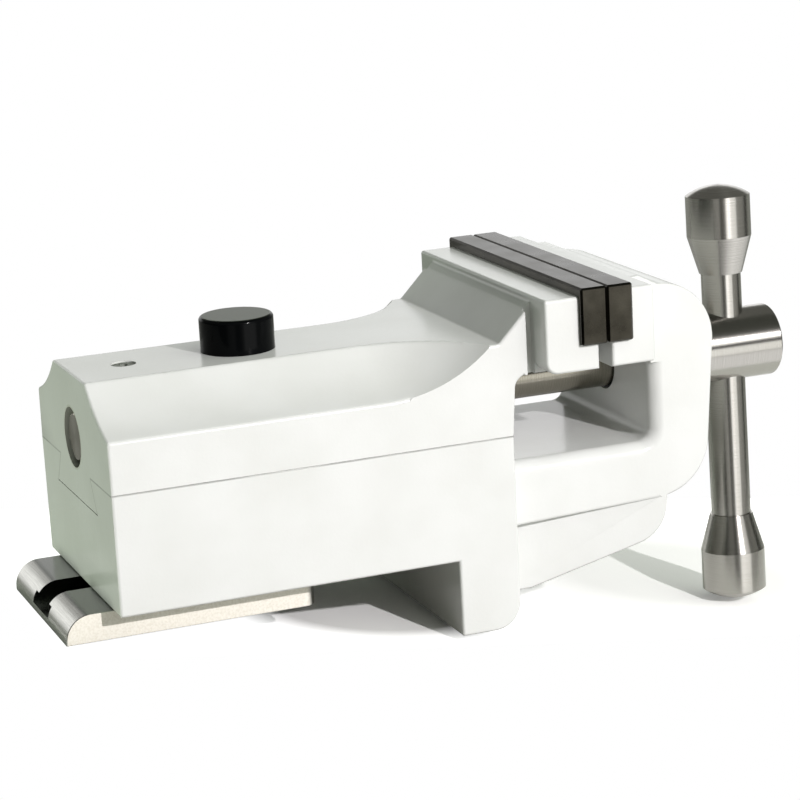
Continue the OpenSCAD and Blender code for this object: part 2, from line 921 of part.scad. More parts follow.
module spindle() {
    x0 = rear_x + tail_recess;
    color("silver")
    difference() {
        union() {
            axle(x0, head_x, spindle_d);
            axle(head_x - cut, head_x + tenon_len, tenon_d);
        }
        difference() {
            axle(clip_x, clip_x + clip_t, spindle_d + cut);
            axle(clip_x - cut, clip_x + clip_t + cut, spindle_d - 2 * clip_depth);
        }
        at_head_pin(pin_d + 2 * seat_gap);
    }
}

// Cross hole or pin of the given diameter through the head
module at_head_pin(d) {
    translate([head_x + pin_at, 0, z_axis])
        rotate([90 - bar_lean, 0, 0])
            cylinder(d = d, h = head_d + 2 * cut, center = true);
}

// Half section of the spindle head, round at its outer end
module head_section() {
    r = head_d / 2;
    square([r - head_round, head_len]);
    square([r, head_len - head_round]);
    translate([r - head_round, head_len - head_round])
        circle(head_round);
}

module spindle_head() {
    color("silver")
    difference() {
        translate([head_x, 0, z_axis])
            rotate([0, 90, 0])
                rotate_extrude()
                    head_section();
        axle(head_x - cut, head_x + tenon_len, tenon_d + 2 * seat_gap);
        at_head_pin(pin_d + 2 * seat_gap);
        translate([bar_x, 0, z_axis])
            rotate([-bar_lean, 0, 0])
                cylinder(d = bar_d + 2 * run_gap, h = head_d + 2 * cut, center = true);
        axle(bar_x, head_x + head_len + cut, brake_d + 2 * seat_gap);
    }
}

module head_pin() {
    color("gray")
    intersection() {
        at_head_pin(pin_d);
        axle(head_x, head_x + head_len, head_d);
    }
}

module spindle_clip() {
    color("dimgray")
    difference() {
        axle(clip_x, clip_x + clip_t, clip_d);
        axle(clip_x - cut, clip_x + clip_t + cut, spindle_d - 2 * clip_depth);
    }
}

module friction_plug() {
    x0 = bar_x + bar_d / 2 + run_gap;
    color("white")
    axle(x0, x0 + brake_len, brake_d);
}

module friction_spring() {
    x0 = bar_x + bar_d / 2 + run_gap + brake_len;
    color("silver")
    translate([x0, 0, z_axis])
        rotate([0, 90, 0])
            coil(brake_d / 2 - 1.5 * brake_wire, brake_wire, brake_turns, brake_spring_len);
}

module friction_screw() {
    x0 = bar_x + bar_d / 2 + run_gap + brake_len + brake_spring_len;
    x1 = head_x + head_len - screw_recess;
    color("dimgray")
    difference() {
        axle(x0, x1, brake_d);
        translate([(x0 + x1) / 2, 0, z_axis])
            rotate([0, 90, 0])
                cylinder(d = brake_d * socket_share, h = x1 - x0, $fn = 6);
    }
}

// Places its children at the middle of the bar in its rest position
module at_bar() {
    translate([bar_x, 0, z_axis])
        rotate([-bar_lean, 0, 0])
            translate([0, 0, -bar_drop])
                children();
}

module handle_bar() {
    color("silver")
    at_bar() {
        cylinder(d = bar_d, h = bar_len, center = true);
        cylinder(d = stub_d, h = bar_len + 2 * stub_len, center = true);
    }
}

// Half section of a knob: cone from the bar, straight grip and domed end
module knob_section() {
    r = knob_d / 2;
    z_grip = knob_cone + knob_straight;
    dome_r = (r * r + knob_dome * knob_dome) / (2 * knob_dome);
    difference() {
        union() {
            polygon([[0, 0], [bar_d / 2 + knob_lip, 0], [r, knob_cone], [r, z_grip], [0, z_grip]]);
            intersection() {
                translate([0, z_grip + knob_dome - dome_r])
                    circle(dome_r);
                translate([0, z_grip - cut])
                    square([r, knob_dome + 2 * cut]);
            }
        }
        square([stub_d / 2 + seat_gap, stub_len + seat_gap]);
    }
}

module upper_knob() {
    color("silver")
    at_bar()
        translate([0, 0, bar_len / 2])
            rotate_extrude()
                knob_section();
}

module lower_knob() {
    color("silver")
    at_bar()
        mirror([0, 0, 1])
            translate([0, 0, bar_len / 2])
                rotate_extrude()
                    knob_section();
}

base_casting();
foot_plate();
foot_screws();
fixed_jaw_plate();
fixed_jaw_screws();
spindle_bush();
thrust_washer();
slide_casting();
moving_jaw_plate();
moving_jaw_screws();
oil_screw();
spring_plug();
release_button();
release_plunger();
release_spring();
spindle();
spindle_head();
head_pin();
spindle_clip();
friction_plug();
friction_spring();
friction_screw();
handle_bar();
upper_knob();
lower_knob();
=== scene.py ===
import math
import bmesh
import bpy
from mathutils import Matrix, Vector


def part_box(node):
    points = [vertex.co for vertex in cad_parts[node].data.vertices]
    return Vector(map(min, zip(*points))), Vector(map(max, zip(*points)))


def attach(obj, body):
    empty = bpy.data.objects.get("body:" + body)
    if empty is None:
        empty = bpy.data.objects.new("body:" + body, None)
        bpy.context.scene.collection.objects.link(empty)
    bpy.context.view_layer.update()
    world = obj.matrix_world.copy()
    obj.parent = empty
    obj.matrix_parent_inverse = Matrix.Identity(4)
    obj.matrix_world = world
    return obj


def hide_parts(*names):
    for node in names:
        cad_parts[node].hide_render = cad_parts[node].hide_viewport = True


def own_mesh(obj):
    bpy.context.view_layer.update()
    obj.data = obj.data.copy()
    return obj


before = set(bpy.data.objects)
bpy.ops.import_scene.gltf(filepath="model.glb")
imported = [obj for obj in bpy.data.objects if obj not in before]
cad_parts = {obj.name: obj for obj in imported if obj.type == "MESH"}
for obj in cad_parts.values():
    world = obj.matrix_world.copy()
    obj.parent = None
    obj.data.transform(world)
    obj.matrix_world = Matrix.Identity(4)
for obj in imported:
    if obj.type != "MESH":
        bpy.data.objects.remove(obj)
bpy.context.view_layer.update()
scene = bpy.context.scene
mm = 0.001


def hexToLinear(text):
    parts = [int(text[i:i + 2], 16) / 255 for i in (1, 3, 5)]
    return tuple(p / 12.92 if p <= 0.04045 else ((p + 0.055) / 1.055) ** 2.4 for p in parts) + (1,)


def addNode(tree, kind, settings=None, links=None, **fields):
    node = tree.nodes.new(kind)
    for name, value in fields.items():
        setattr(node, name, value)
    for name, value in (settings or {}).items():
        node.inputs[name].default_value = value
    for name, source in (links or {}).items():
        tree.links.new(source, node.inputs[name])
    return node


def startMaterial(name, settings):
    material = bpy.data.materials.new(name)
    material.use_nodes = True
    tree = material.node_tree
    shader = tree.nodes["Principled BSDF"]
    for key, value in settings.items():
        shader.inputs[key].default_value = value
    coords = addNode(tree, "ShaderNodeTexCoord")
    return material, tree, shader, coords.outputs["Object"]


def rampStops(ramp, stops):
    band = ramp.color_ramp
    while len(band.elements) < len(stops):
        band.elements.new(0.5)
    for element, (place, colour) in zip(band.elements, stops):
        element.position = place
        element.color = hexToLinear(colour)


# camera, solved from the straight edges of the object
cameraSet = {
    "place": (-0.19975, -0.74004, 0.24292),
    "right": (0.93048, -0.36257, -0.05238),
    "up": (0.13387, 0.20346, 0.96988),
    "back": (-0.34099, -0.90948, 0.23786),
    "lens": 121.2, "sensor": 36, "nearest": 0.01,
}
cameraData = bpy.data.cameras.new("camera")
cameraData.lens = cameraSet["lens"]
cameraData.sensor_width = cameraSet["sensor"]
cameraData.clip_start = cameraSet["nearest"]
camera = bpy.data.objects.new("camera", cameraData)
scene.collection.objects.link(camera)
turn = Matrix([cameraSet["right"], cameraSet["up"], cameraSet["back"]]).transposed()
camera.matrix_world = Matrix.Translation(cameraSet["place"]) @ turn.to_4x4()
scene.camera = camera
scene.view_settings.view_transform = "Standard"
print("camera set")

# cast iron under white powder coat: semi-gloss, a fine orange-peel skin that sparkles where it curves
coatSet = {"colour": "#e0e1e0", "shade": "#dadbd9", "grimeAndShade": "#43453f", "bored": "#d0d1ca",
           "roughness": 0.2, "ior": 1.5, "cloud": 26, "smudge": (0.22, 0.45),
           "peel": 1.1, "peelDepth": 0.12, "grit": 0.4, "gritDepth": 0.06,
           "joint": 43.9, "jointLine": (0.34, 0.16), "way": 16.75, "wayDepth": 9.6, "wayLean": 30,
           "wayLine": 0.22, "front": 98, "axis": 52.3, "bore": 9.55}
coatedIron, tree, shader, place = startMaterial("powderCoatedIron", {
    "Roughness": coatSet["roughness"], "IOR": coatSet["ior"]})
cloud = addNode(tree, "ShaderNodeTexNoise", {"Scale": 1 / (coatSet["cloud"] * mm), "Detail": 3},
                {"Vector": place})
tone = addNode(tree, "ShaderNodeValToRGB", None, {"Fac": cloud.outputs["Fac"]})
rampStops(tone, [(0.35, coatSet["shade"]), (0.65, coatSet["colour"])])
# painted shade and grime: a dark line along the joint of base and slide and along the dovetail
spot = addNode(tree, "ShaderNodeSeparateXYZ", None, {"Vector": place})
aside = addNode(tree, "ShaderNodeMath", None, {0: spot.outputs["Y"]}, operation="ABSOLUTE")
below = addNode(tree, "ShaderNodeMath", {0: coatSet["joint"] * mm}, {1: spot.outputs["Z"]},
                operation="SUBTRACT")
offJoint = addNode(tree, "ShaderNodeMath", None, {0: below.outputs[0]}, operation="ABSOLUTE")
inJoint = addNode(tree, "ShaderNodeMapRange",
                  {"From Min": coatSet["jointLine"][0] * mm, "From Max": coatSet["jointLine"][1] * mm},
                  {"Value": offJoint.outputs[0]})
overWay = addNode(tree, "ShaderNodeMath", {1: coatSet["way"] * mm}, {0: aside.outputs[0]},
                  operation="GREATER_THAN")
slant = addNode(tree, "ShaderNodeMath",
                {1: math.tan(math.radians(coatSet["wayLean"])), 2: coatSet["way"] * mm},
                {0: below.outputs[0]}, operation="MULTIPLY_ADD")
atSlant = addNode(tree, "ShaderNodeMath", {2: coatSet["wayLine"] * mm},
                  {0: aside.outputs[0], 1: slant.outputs[0]}, operation="COMPARE")
halfDepth = coatSet["wayDepth"] / 2 * mm
inDepth = addNode(tree, "ShaderNodeMath", {1: halfDepth, 2: halfDepth}, {0: below.outputs[0]},
                  operation="COMPARE")
onWay = addNode(tree, "ShaderNodeMath", None, {0: atSlant.outputs[0], 1: inDepth.outputs[0]},
                operation="MULTIPLY")
onSide = addNode(tree, "ShaderNodeMath", None, {0: inJoint.outputs[0], 1: overWay.outputs[0]},
                 operation="MULTIPLY")
onLine = addNode(tree, "ShaderNodeMath", None, {0: onSide.outputs[0], 1: onWay.outputs[0]},
                 operation="MAXIMUM")
onBody = addNode(tree, "ShaderNodeMath", {1: coatSet["front"] * mm}, {0: spot.outputs["X"]},
                 operation="LESS_THAN")
smudge = addNode(tree, "ShaderNodeMapRange",
                 {"From Min": 0.35, "From Max": 0.6,
                  "To Min": coatSet["smudge"][0], "To Max": coatSet["smudge"][1]},
                 {"Value": cloud.outputs["Fac"]})  # more in some spots than in others
shadeAndGrimeLine = addNode(tree, "ShaderNodeMath", None, {0: onLine.outputs[0], 1: smudge.outputs[0]},
               operation="MULTIPLY")
shadeAndGrimeOnBody = addNode(tree, "ShaderNodeMath", None, {0: shadeAndGrimeLine.outputs[0], 1: onBody.outputs[0]},
                 operation="MULTIPLY")
# the slide's bore is bare grey iron
fromAxis = addNode(tree, "ShaderNodeVectorMath", {1: (0, 0, coatSet["axis"] * mm)}, {0: place},
                   operation="SUBTRACT")
flat = addNode(tree, "ShaderNodeVectorMath", {1: (0, 1, 1)}, {0: fromAxis.outputs[0]},
               operation="MULTIPLY")
radius = addNode(tree, "ShaderNodeVectorMath", None, {0: flat.outputs[0]}, operation="LENGTH")
inBore = addNode(tree, "ShaderNodeMath", {1: coatSet["bore"] * mm}, {0: radius.outputs["Value"]},
                 operation="LESS_THAN")
bare = addNode(tree, "ShaderNodeMath", None, {0: inBore.outputs[0], 1: onBody.outputs[0]},
               operation="MULTIPLY")
# on a Mix node of colours, inputs 6 and 7 are the two colours and output 2 is the blend
# the grime colour paints the joint's shade, with some grime, into the coat
skin = addNode(tree, "ShaderNodeMix", {7: hexToLinear(coatSet["grimeAndShade"])},
               {"Factor": shadeAndGrimeOnBody.outputs[0], 6: tone.outputs["Color"]}, data_type="RGBA")
whole = addNode(tree, "ShaderNodeMix", {7: hexToLinear(coatSet["bored"])},
                {"Factor": bare.outputs[0], 6: skin.outputs[2]}, data_type="RGBA")
tree.links.new(whole.outputs[2], shader.inputs["Base Color"])
peel = addNode(tree, "ShaderNodeTexNoise", {"Scale": 1 / (coatSet["peel"] * mm), "Detail": 2},
               {"Vector": place})  # orange peel, about 1 mm from bump to bump
grit = addNode(tree, "ShaderNodeTexNoise", {"Scale": 1 / (coatSet["grit"] * mm), "Detail": 1},
               {"Vector": place})
peelBump = addNode(tree, "ShaderNodeBump", {"Strength": 0.2, "Distance": coatSet["peelDepth"] * mm},
                   {"Height": peel.outputs["Fac"]})
gritBump = addNode(tree, "ShaderNodeBump", {"Strength": 0.12, "Distance": coatSet["gritDepth"] * mm},
                   {"Height": grit.outputs["Fac"], "Normal": peelBump.outputs["Normal"]})
tree.links.new(gritBump.outputs["Normal"], shader.inputs["Normal"])

# steel bar, turned and polished: fine rings round the axis draw its reflections out along the axis
turnedSet = {"handle": ("#c4c2bd", "#aba8a2"), "spindle": ("#a8a498", "#8a867b"), "drawnOut": 0.75,
             "rough": (0.19, 0.28), "depth": 0.02,
             "pitch": 0.25}  # rings of 0.1 mm, drawn coarser to show


def turnedSteel(name, axis, tones):
    material, tree, shader, place = startMaterial(name, {
        "Metallic": 1, "Anisotropic": turnedSet["drawnOut"], "Anisotropic Rotation": 0.25})
    tangent = addNode(tree, "ShaderNodeTangent", direction_type="RADIAL", axis=axis)
    tree.links.new(tangent.outputs[0], shader.inputs["Tangent"])
    split = addNode(tree, "ShaderNodeSeparateXYZ", None, {"Vector": place})
    along = addNode(tree, "ShaderNodeMath", {1: 1 / (turnedSet["pitch"] * mm)},
                    {0: split.outputs[axis]}, operation="MULTIPLY")
    rings = addNode(tree, "ShaderNodeTexNoise", {"Scale": 1.0, "Detail": 3, "Roughness": 0.7},
                    {"W": along.outputs[0]}, noise_dimensions="1D")
    tone = addNode(tree, "ShaderNodeValToRGB", None, {"Fac": rings.outputs["Fac"]})
    rampStops(tone, [(0.3, tones[1]), (0.7, tones[0])])
    tree.links.new(tone.outputs["Color"], shader.inputs["Base Color"])
    rough = addNode(tree, "ShaderNodeMapRange",
                    {"To Min": turnedSet["rough"][0], "To Max": turnedSet["rough"][1]},
                    {"Value": rings.outputs["Fac"]})
    tree.links.new(rough.outputs[0], shader.inputs["Roughness"])
    bump = addNode(tree, "ShaderNodeBump", {"Strength": 0.2, "Distance": turnedSet["depth"] * mm},
                   {"Height": rings.outputs["Fac"]})
    tree.links.new(bump.outputs["Normal"], shader.inputs["Normal"])
    return material


uprightSteel = turnedSteel("turnedSteelHandle", "Z", turnedSet["handle"])
levelSteel = turnedSteel("turnedSteelHead", "X", turnedSet["handle"])
darkerSpindleSteel = turnedSteel("turnedSteelSpindle", "X", turnedSet["spindle"])  # drawn darker and browner than the handle

# tool steel, hardened, ground and blackened: dark brown-grey with fine grinding lines along the jaw
jawSet = {"light": "#4e4b43", "dark": "#26241f", "rough": (0.22, 0.36), "patch": 9, "drawnOut": 0.02,
          "depth": 0.02, "line": 0.2}  # lines finer than 0.1 mm, drawn coarser to show
jawSteel, tree, shader, place = startMaterial("blackenedGroundSteel", {"Metallic": 1})
stretch = addNode(tree, "ShaderNodeMapping", {"Scale": (1, jawSet["drawnOut"], 1)}, {"Vector": place})
lines = addNode(tree, "ShaderNodeTexNoise", {"Scale": 1 / (jawSet["line"] * mm), "Detail": 2},
                {"Vector": stretch.outputs[0]})
patch = addNode(tree, "ShaderNodeTexNoise", {"Scale": 1 / (jawSet["patch"] * mm), "Detail": 4},
                {"Vector": place})
blend = addNode(tree, "ShaderNodeMath", None, {0: lines.outputs["Fac"], 1: patch.outputs["Fac"]},
                operation="MULTIPLY")
tone = addNode(tree, "ShaderNodeValToRGB", None, {"Fac": blend.outputs[0]})
rampStops(tone, [(0.1, jawSet["dark"]), (0.45, jawSet["light"])])
tree.links.new(tone.outputs["Color"], shader.inputs["Base Color"])
rough = addNode(tree, "ShaderNodeMapRange",
                {"To Min": jawSet["rough"][0], "To Max": jawSet["rough"][1]},
                {"Value": patch.outputs["Fac"]})
tree.links.new(rough.outputs[0], shader.inputs["Roughness"])
bump = addNode(tree, "ShaderNodeBump", {"Strength": 0.15, "Distance": jawSet["depth"] * mm},
               {"Height": lines.outputs["Fac"]})
tree.links.new(bump.outputs["Normal"], shader.inputs["Normal"])

# mild steel plate: tail ground bright; the level top is drawn dark, a painted reflection of shade, and
# the sides pale and matt, a painted reflection of the lit room
plateSet = {"bright": "#d6d6d1", "drawn": "#c2c2bd", "dark": "#6b6e69", "dull": "#f4f0e6",
            "spot": "#e8e3d7", "rough": (0.22, 0.7), "pit": 0.7, "pitDepth": 0.05, "rim": 24,
            "sideFrom": (0.75, 0.95), "levelFrom": (0.95, 0.985), "drawnOut": 0.03,
            "line": 0.3}  # lines finer than 0.1 mm, drawn coarser to show
plateSteel, tree, shader, place = startMaterial("groundSteelPlate", {"Metallic": 1})
facing = addNode(tree, "ShaderNodeNewGeometry")
parts = addNode(tree, "ShaderNodeSeparateXYZ", None, {"Vector": facing.outputs["Normal"]})
sideways = addNode(tree, "ShaderNodeMath", None, {0: parts.outputs["Y"]}, operation="ABSOLUTE")
turned = addNode(tree, "ShaderNodeMapRange",
                 {"From Min": plateSet["sideFrom"][0], "From Max": plateSet["sideFrom"][1]},
                 {"Value": sideways.outputs[0]})
spot = addNode(tree, "ShaderNodeSeparateXYZ", None, {"Vector": place})
fromMiddle = addNode(tree, "ShaderNodeMath", None, {0: spot.outputs["Y"]}, operation="ABSOLUTE")
atRim = addNode(tree, "ShaderNodeMath", {1: plateSet["rim"] * mm}, {0: fromMiddle.outputs[0]},
                operation="GREATER_THAN")  # the slot's walls keep the top's painted dark
isSide = addNode(tree, "ShaderNodeMath", None, {0: turned.outputs[0], 1: atRim.outputs[0]},
                 operation="MULTIPLY")
level = addNode(tree, "ShaderNodeMath", None, {0: parts.outputs["Z"]}, operation="ABSOLUTE")
flatter = addNode(tree, "ShaderNodeMapRange",
                  {"From Min": plateSet["levelFrom"][0], "From Max": plateSet["levelFrom"][1]},
                  {"Value": level.outputs[0]})
# painted shade: the level faces and the slot's walls take the dark tone
paintedDarkFaces = addNode(tree, "ShaderNodeMath", None, {0: flatter.outputs[0], 1: turned.outputs[0]},
                 operation="MAXIMUM")
pits = addNode(tree, "ShaderNodeTexNoise", {"Scale": 1 / (plateSet["pit"] * mm), "Detail": 4},
               {"Vector": place})
stretch = addNode(tree, "ShaderNodeMapping", {"Scale": (1, plateSet["drawnOut"], 1)},
                  {"Vector": place})
lines = addNode(tree, "ShaderNodeTexNoise", {"Scale": 1 / (plateSet["line"] * mm), "Detail": 2},
                {"Vector": stretch.outputs[0]})
# painted reflection of the lit room: the pale tone of the sides
paintedPaleSideTone = addNode(tree, "ShaderNodeValToRGB", None, {"Fac": pits.outputs["Fac"]})
rampStops(paintedPaleSideTone, [(0.35, plateSet["spot"]), (0.6, plateSet["dull"])])
brightTone = addNode(tree, "ShaderNodeValToRGB", None, {"Fac": lines.outputs["Fac"]})
rampStops(brightTone, [(0.3, plateSet["drawn"]), (0.7, plateSet["bright"])])
steelTone = addNode(tree, "ShaderNodeMix", {7: hexToLinear(plateSet["dark"])},
                    {"Factor": paintedDarkFaces.outputs[0], 6: brightTone.outputs["Color"]}, data_type="RGBA")
tone = addNode(tree, "ShaderNodeMix", None, {"Factor": isSide.outputs[0], 6: steelTone.outputs[2],
                                             7: paintedPaleSideTone.outputs["Color"]}, data_type="RGBA")
tree.links.new(tone.outputs[2], shader.inputs["Base Color"])
rough = addNode(tree, "ShaderNodeMapRange",
                {"To Min": plateSet["rough"][0], "To Max": plateSet["rough"][1]},
                {"Value": isSide.outputs[0]})
tree.links.new(rough.outputs[0], shader.inputs["Roughness"])
bare = addNode(tree, "ShaderNodeMapRange", {"To Min": 1, "To Max": 0.0}, {"Value": isSide.outputs[0]})
tree.links.new(bare.outputs[0], shader.inputs["Metallic"])  # painted reflection of the lit room: the sides scatter like chalk
pitBump = addNode(tree, "ShaderNodeBump", {"Strength": 0.2, "Distance": plateSet["pitDepth"] * mm},
                  {"Height": pits.outputs["Fac"]})
tree.links.new(pitBump.outputs["Normal"], shader.inputs["Normal"])

# black acetal, turned: gloss wall, the faced top is satin with fine rings; its lighter grey is a
# painted sheen
capSet = {"black": "#050607", "grey": "#0a0b0c", "top": "#565b52", "ior": 1.48, "specular": 0.08,
          "rough": (0.14, 0.3), "topFrom": (0.9, 0.99), "ringDepth": 0.02,
          "ring": 0.3}  # rings of 0.1 mm, drawn coarser to show
blackCap, tree, shader, place = startMaterial("turnedBlackAcetal", {
    "IOR": capSet["ior"], "Specular IOR Level": capSet["specular"]})
facing = addNode(tree, "ShaderNodeNewGeometry")
parts = addNode(tree, "ShaderNodeSeparateXYZ", None, {"Vector": facing.outputs["Normal"]})
isTop = addNode(tree, "ShaderNodeMapRange",
                {"From Min": capSet["topFrom"][0], "From Max": capSet["topFrom"][1]},
                {"Value": parts.outputs["Z"]})
buttonLow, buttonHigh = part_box("release_button")
centre = (Vector(buttonLow) + Vector(buttonHigh)) / 2
fromAxis = addNode(tree, "ShaderNodeVectorMath", {1: (centre.x, centre.y, 0)}, {0: place},
                   operation="SUBTRACT")
flat = addNode(tree, "ShaderNodeVectorMath", {1: (1, 1, 0)}, {0: fromAxis.outputs[0]},
               operation="MULTIPLY")
radius = addNode(tree, "ShaderNodeVectorMath", None, {0: flat.outputs[0]}, operation="LENGTH")
ringPlace = addNode(tree, "ShaderNodeMath", {1: 1 / (capSet["ring"] * mm)},
                    {0: radius.outputs["Value"]}, operation="MULTIPLY")
rings = addNode(tree, "ShaderNodeTexNoise", {"Scale": 1.0, "Detail": 2}, {"W": ringPlace.outputs[0]},
                noise_dimensions="1D")
tone = addNode(tree, "ShaderNodeValToRGB", None, {"Fac": rings.outputs["Fac"]})
rampStops(tone, [(0.3, capSet["black"]), (0.7, capSet["grey"])])
# painted sheen: the top is drawn a lighter grey than the black wall
paintedTopSheen = addNode(tree, "ShaderNodeMix", {7: hexToLinear(capSet["top"])},
               {"Factor": isTop.outputs[0], 6: tone.outputs["Color"]}, data_type="RGBA")
tree.links.new(paintedTopSheen.outputs[2], shader.inputs["Base Color"])
rough = addNode(tree, "ShaderNodeMapRange",
                {"To Min": capSet["rough"][0], "To Max": capSet["rough"][1]},
                {"Value": isTop.outputs[0]})
tree.links.new(rough.outputs[0], shader.inputs["Roughness"])
bump = addNode(tree, "ShaderNodeBump", {"Strength": 0.12, "Distance": capSet["ringDepth"] * mm},
               {"Height": rings.outputs["Fac"]})
tree.links.new(bump.outputs["Normal"], shader.inputs["Normal"])

# smaller finishes: a mottled tone and a soft uneven skin, each at its own grain
mottleSet = {"smoother": 0.08, "rougher": 0.1, "depth": 0.03}


def mottled(name, light, dark, grainSize, metallic, roughness):
    material, tree, shader, place = startMaterial(name, {"Metallic": metallic})
    spots = addNode(tree, "ShaderNodeTexNoise", {"Scale": 1 / (grainSize * mm), "Detail": 3},
                    {"Vector": place})
    tone = addNode(tree, "ShaderNodeValToRGB", None, {"Fac": spots.outputs["Fac"]})
    rampStops(tone, [(0.3, dark), (0.7, light)])
    tree.links.new(tone.outputs["Color"], shader.inputs["Base Color"])
    rough = addNode(tree, "ShaderNodeMapRange",
                    {"To Min": roughness - mottleSet["smoother"],
                     "To Max": roughness + mottleSet["rougher"]},
                    {"Value": spots.outputs["Fac"]})
    tree.links.new(rough.outputs[0], shader.inputs["Roughness"])
    bump = addNode(tree, "ShaderNodeBump", {"Strength": 0.15, "Distance": mottleSet["depth"] * mm},
                   {"Height": spots.outputs["Fac"]})
    tree.links.new(bump.outputs["Normal"], shader.inputs["Normal"])
    return material


blackOxide = mottled("blackOxideSteel", "#3a3b3a", "#242524", 0.8, 1, 0.4)  # oiled black screws
greyOxide = mottled("phosphatedSteel", "#b0b5ac", "#8e938a", 0.7, 1, 0.5)  # dull grey grub screw
bronze = mottled("machinedBronze", "#c79a58", "#a87b3f", 1.2, 1, 0.32)  # bearing bronze
brightSteel = mottled("brightDrawnSteel", "#c9c8c4", "#aeada8", 0.6, 1, 0.28)  # springs and pins
nylon = mottled("machinedNylon", "#e6e2d2", "#d8d3c0", 0.7, 0, 0.5)  # waxy off-white
print("materials made")

# what each node wears
dress = {
    "base_casting": coatedIron, "slide_casting": coatedIron, "foot_plate": plateSteel,
    "fixed_jaw_plate": jawSteel, "moving_jaw_plate": jawSteel, "spindle_head": levelSteel,
    "handle_bar": uprightSteel, "upper_knob": uprightSteel, "lower_knob": uprightSteel,
    "release_button": blackCap, "oil_screw": greyOxide, "foot_screws": blackOxide,
    "fixed_jaw_screws": blackOxide, "moving_jaw_screws": blackOxide, "spindle_clip": blackOxide,
    "friction_screw": blackOxide, "spindle_bush": bronze, "thrust_washer": bronze,
    "release_plunger": bronze, "spring_plug": brightSteel, "head_pin": brightSteel,
    "release_spring": brightSteel, "friction_spring": brightSteel, "friction_plug": nylon,
    "spindle": darkerSpindleSteel,
}
for name, material in dress.items():
    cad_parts[name].data.materials.clear()
    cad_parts[name].data.materials.append(material)
print("nodes dressed")

# castings and plate again with their outer edges broken, as the mould and the file leave them
edgeSet = {"smoothUnder": 32, "brokenOver": 28, "flatUnder": 0.4, "weld": 0.001, "steps": 3,
           "shortest": 3, "facing": 0.95}  # angles in degrees, lengths in mm


def addPiece(name, bm, node, body):
    limit = math.radians(edgeSet["smoothUnder"])
    for edge in bm.edges:
        edge.smooth = len(edge.link_faces) == 2 and edge.calc_face_angle(0) < limit
    for face in bm.faces:
        face.smooth = True
    mesh = bpy.data.meshes.new(name)
    bm.to_mesh(mesh)
    bm.free()
    mesh.materials.append(dress[node])
    piece = bpy.data.objects.new(name, mesh)
    scene.collection.objects.link(piece)
    even = piece.modifiers.new("evenNormals", "WEIGHTED_NORMAL")  # flats stay flat by the rounds
    even.keep_sharp = True
    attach(piece, body)
    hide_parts(node)
    return piece


def outerEdges(bm, wanted):
    limit = math.radians(edgeSet["brokenOver"])
    chosen = []
    for edge in bm.edges:
        if len(edge.link_faces) == 2 and edge.is_convex and edge.calc_face_angle() > limit:
            if wanted(edge, (edge.verts[0].co + edge.verts[1].co) / 2 / mm):
                chosen.append(edge)
    return chosen


def weldedCopy(node):
    bpy.context.view_layer.update()
    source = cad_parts[node]
    bm = bmesh.new()
    bm.from_mesh(source.data)
    bm.transform(source.matrix_world)
    bmesh.ops.remove_doubles(bm, verts=bm.verts, dist=edgeSet["weld"] * mm)
    return bm


def breakEdges(node, given, wanted, fine=None):
    bm = weldedCopy(node)
    bmesh.ops.dissolve_limit(bm, angle_limit=math.radians(edgeSet["flatUnder"]), verts=bm.verts,
                             edges=bm.edges)
    bmesh.ops.bevel(bm, geom=outerEdges(bm, wanted), offset=given["edge"] * mm, offset_type="OFFSET",
                    segments=edgeSet["steps"], profile=0.5, affect="EDGES", clamp_overlap=False,
                    loop_slide=True)
    if fine:
        bmesh.ops.bevel(bm, geom=outerEdges(bm, fine), offset=given["fine"] * mm, offset_type="OFFSET",
                        segments=1, profile=0.5, affect="EDGES", clamp_overlap=True, loop_slide=True)
    return bm


def facesAlong(edge, axis):
    return any(abs(face.normal[axis]) > edgeSet["facing"] for face in edge.link_faces)


def longEnough(edge):
    return edge.calc_length() > edgeSet["shortest"] * mm or facesAlong(edge, 1)


def inside(p, zone):
    return zone["x"][0] < p.x < zone["x"][1] and zone["z"][0] < p.z < zone["z"][1]


# mm; no round at the joint, the ways, the jaw seat, the bore and corners that would run into a face
baseSet = {"edge": 0.9, "fine": 0.2, "split": 43.9, "splitBand": 0.6, "ways": (29, 33, 98.5),
           "seat": (133.2, 69.9), "tail": -23.8, "tailBand": 0.3, "axis": (52.3, 13), "plateHalf": 37,
           "plateSeat": {"x": (-23, 80), "z": (7, 9)}, "throatTop": {"x": (144, 150), "z": (58.5, 63)},
           "keelEnd": {"x": (146, 150), "z": (16, 17.5)}, "oilFilm": 0.02, "flush": 0.01}
wayHalf, wayFoot, wayEnd = baseSet["ways"]


def roundOnBase(edge, p):
    if not longEnough(edge) or abs(p.z - baseSet["split"]) < baseSet["splitBand"]:
        return False
    if abs(p.y) < wayHalf and p.z > wayFoot and p.x < wayEnd:
        return False
    if p.x < baseSet["seat"][0] and p.z > baseSet["seat"][1]:
        return False
    if math.hypot(p.y, p.z - baseSet["axis"][0]) < baseSet["axis"][1] and p.x > wayEnd:
        return False
    if abs(p.y) < baseSet["plateHalf"] and inside(p, baseSet["plateSeat"]):
        return False
    return not (inside(p, baseSet["throatTop"]) or inside(p, baseSet["keelEnd"]))


def fineOnBase(edge, p):  # the joint and the dovetail show as thin lines on the tail
    if abs(p.x - baseSet["tail"]) > baseSet["tailBand"] or not facesAlong(edge, 0):
        return False
    atSplit = abs(p.z - baseSet["split"]) < baseSet["splitBand"]
    return atSplit or (abs(p.y) < wayHalf and p.z > wayFoot)


